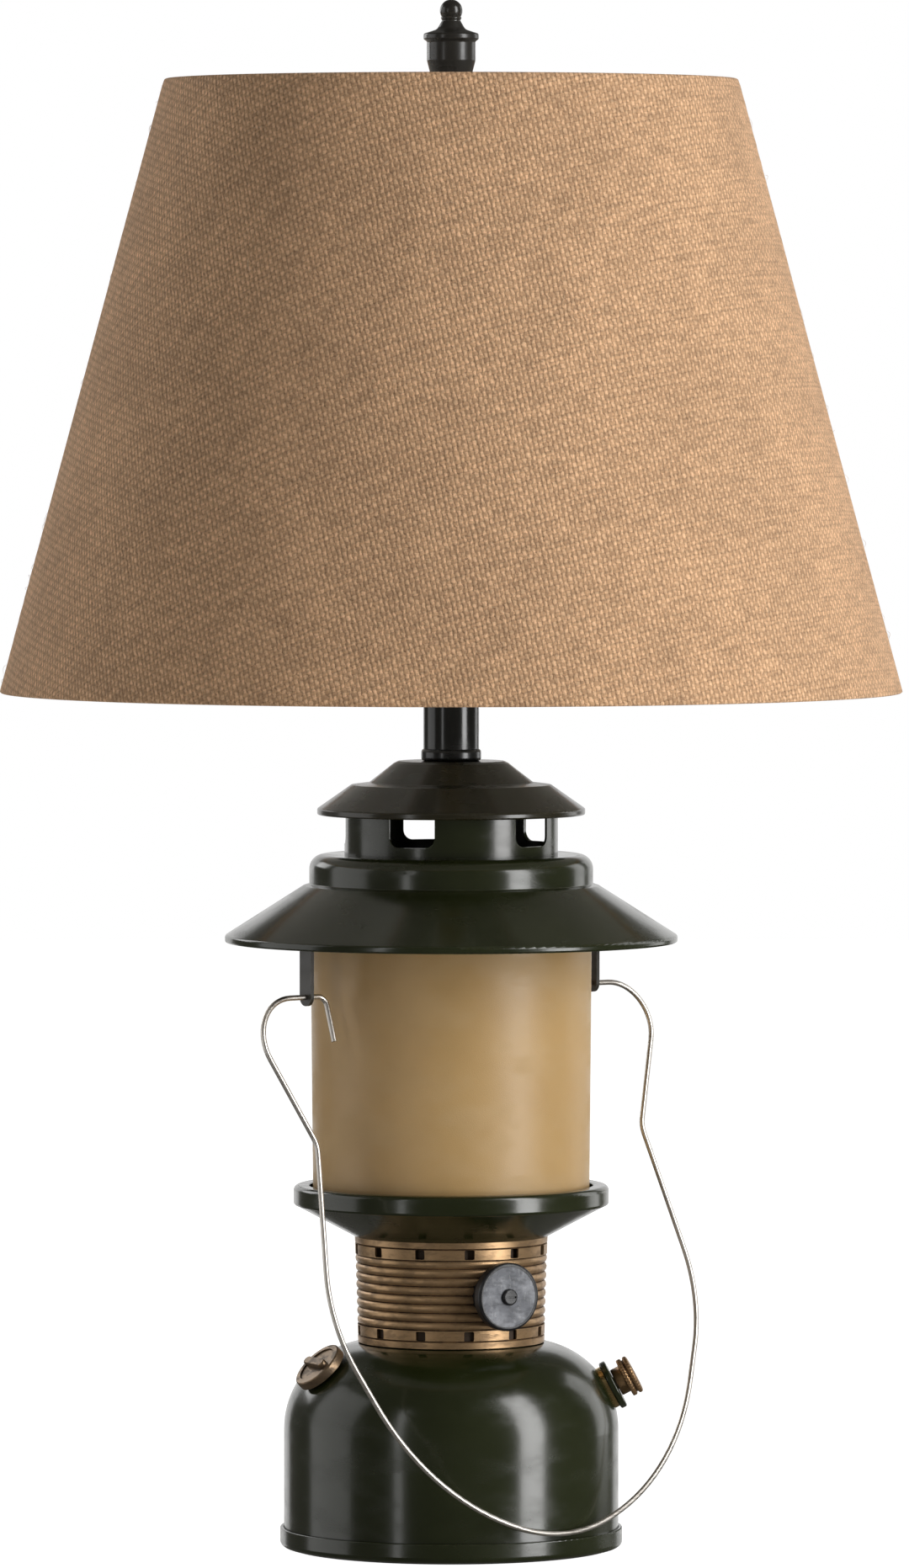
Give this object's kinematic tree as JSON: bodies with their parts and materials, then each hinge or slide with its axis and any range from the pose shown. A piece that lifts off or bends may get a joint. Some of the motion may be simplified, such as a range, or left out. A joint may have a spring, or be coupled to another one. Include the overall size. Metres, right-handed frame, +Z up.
{
  "type": "lantern table lamp",
  "caption": "Electric table lamp shaped like an old camping lantern: tank base, ribbed collar, frosted globe, hood, swinging bail and a burlap cone shade.",
  "frame": {"origin": "centre of the base's underside, on the lamp's axis", "axes": "+Z up the lamp's axis, -Y the front, +X the side with the pump"},
  "size_m": [0.408, 0.4078, 0.7],
  "materials": {
    "olive_paint": "semi-gloss olive drab enamel over pressed steel, slightly aged",
    "cap_paint": "darker, browner olive enamel",
    "neck_black": "satin black",
    "antique_bronze": "antiqued bronze plate, dark brown in the recesses",
    "cap_bronze": "antiqued bronze plate, rubbed at the edges",
    "black_plastic": "moulded black, soft gloss",
    "grey_face": "dull grey metal plate with faint scuffs",
    "bright_wire": "bright drawn steel wire",
    "black_steel": "dark steel strap",
    "frosted_glass": "amber glass, frosted all over",
    "bulb_white": "soft white coated bulb",
    "burlap": "tan burlap, open plain weave, loose fibres",
    "lining_white": "white laminated styrene lining",
    "white_wire": "white coated wire",
    "finial_dark": "dark oil-rubbed bronze finish",
    "nickel": "nickel-plated steel",
    "brass": "plain brass",
    "zinc_steel": "zinc-plated steel",
    "cast_weight": "rough cast iron",
    "black_felt": "dark green felt",
    "black_rubber": "moulded black rubber",
    "leather": "oiled leather",
    "phenolic": "black phenolic",
    "fibre": "tan insulating fibre sleeve",
    "bulb_cap": "plain aluminium screw base"
  },
  "bodies": {
    "lamp": {"felt_pad": "black_felt", "base_pan": "olive_paint", "ballast": "cast_weight", "ballast_screws": "zinc_steel", "tank_shell": "olive_paint", "cord_bushing": "black_rubber", "filler_spout": "olive_paint", "pump_barrel": "brass", "pump_cap": "olive_paint", "collar": "antique_bronze", "valve_escutcheon": "black_plastic", "rotary_switch": "phenolic", "gallery": "olive_paint", "globe": "frosted_glass", "hood": "olive_paint", "chimney": "olive_paint", "top_cap": "cap_paint", "bail_ears": "black_steel", "lamp_pipe": "zinc_steel", "pipe_washer": "zinc_steel", "pipe_nut": "zinc_steel", "neck_ring": "neck_black", "neck_tube": "neck_black", "neck_seat": "neck_black", "harp_saddle": "nickel", "harp": "nickel", "harp_stud": "nickel", "socket_cap": "brass", "socket_shell": "brass", "socket_liner": "fibre", "socket_body": "phenolic", "screw_shell": "brass", "bulb_base": "bulb_cap", "bulb_glass": "bulb_white"},
    "bail": {"bail": "bright_wire"},
    "valve_knob": {"valve_knob": "black_plastic", "knob_face": "grey_face", "knob_screw": "black_plastic", "valve_stem": "zinc_steel"},
    "filler_cap": {"filler_cap": "cap_bronze"},
    "pump_plunger": {"pump_knob": "antique_bronze", "pump_rod": "bright_wire", "pump_piston": "leather"},
    "shade": {"shade_fabric": "burlap", "shade_lining": "lining_white", "shade_top_ring": "white_wire", "shade_bottom_ring": "white_wire", "shade_spider": "white_wire"},
    "finial": {"finial": "finial_dark"},
    "left_ferrule": {"left_ferrule": "brass"},
    "right_ferrule": {"right_ferrule": "brass"}
  },
  "joints": [
    {"name": "bail_swing", "type": "hinge", "parent": "lamp", "child": "bail", "pos_m": [0, 0, 0.2527], "axis": [-0.766, -0.6428, 0], "range_deg": [0, 105]},
    {"name": "valve_knob_turn", "type": "hinge", "parent": "lamp", "child": "valve_knob", "pos_m": [0.0261, -0.04613, 0.1174], "axis": [0.4924, -0.8704, 0], "continuous": true},
    {"name": "filler_cap_turn", "type": "hinge", "parent": "lamp", "child": "filler_cap", "pos_m": [-0.06064, -0.02828, 0.08569], "axis": [-0.6296, -0.2936, 0.7193], "continuous": true},
    {"name": "pump_slide", "type": "slide", "parent": "lamp", "child": "pump_plunger", "axis": [0.8829, 0, 0.4695], "range_m": [0, 0.03]},
    {"name": "shade_turn", "type": "hinge", "parent": "lamp", "child": "shade", "pos_m": [0, 0, 0.655], "axis": [0, 0, 1], "continuous": true},
    {"name": "finial_turn", "type": "hinge", "parent": "lamp", "child": "finial", "pos_m": [0, 0, 0.66], "axis": [0, 0, 1], "continuous": true},
    {"name": "left_ferrule_slide", "type": "slide", "parent": "lamp", "child": "left_ferrule", "axis": [0, 0, 1], "range_m": [0, 0.011]},
    {"name": "right_ferrule_slide", "type": "slide", "parent": "lamp", "child": "right_ferrule", "axis": [0, 0, 1], "range_m": [0, 0.011]}
  ]
}
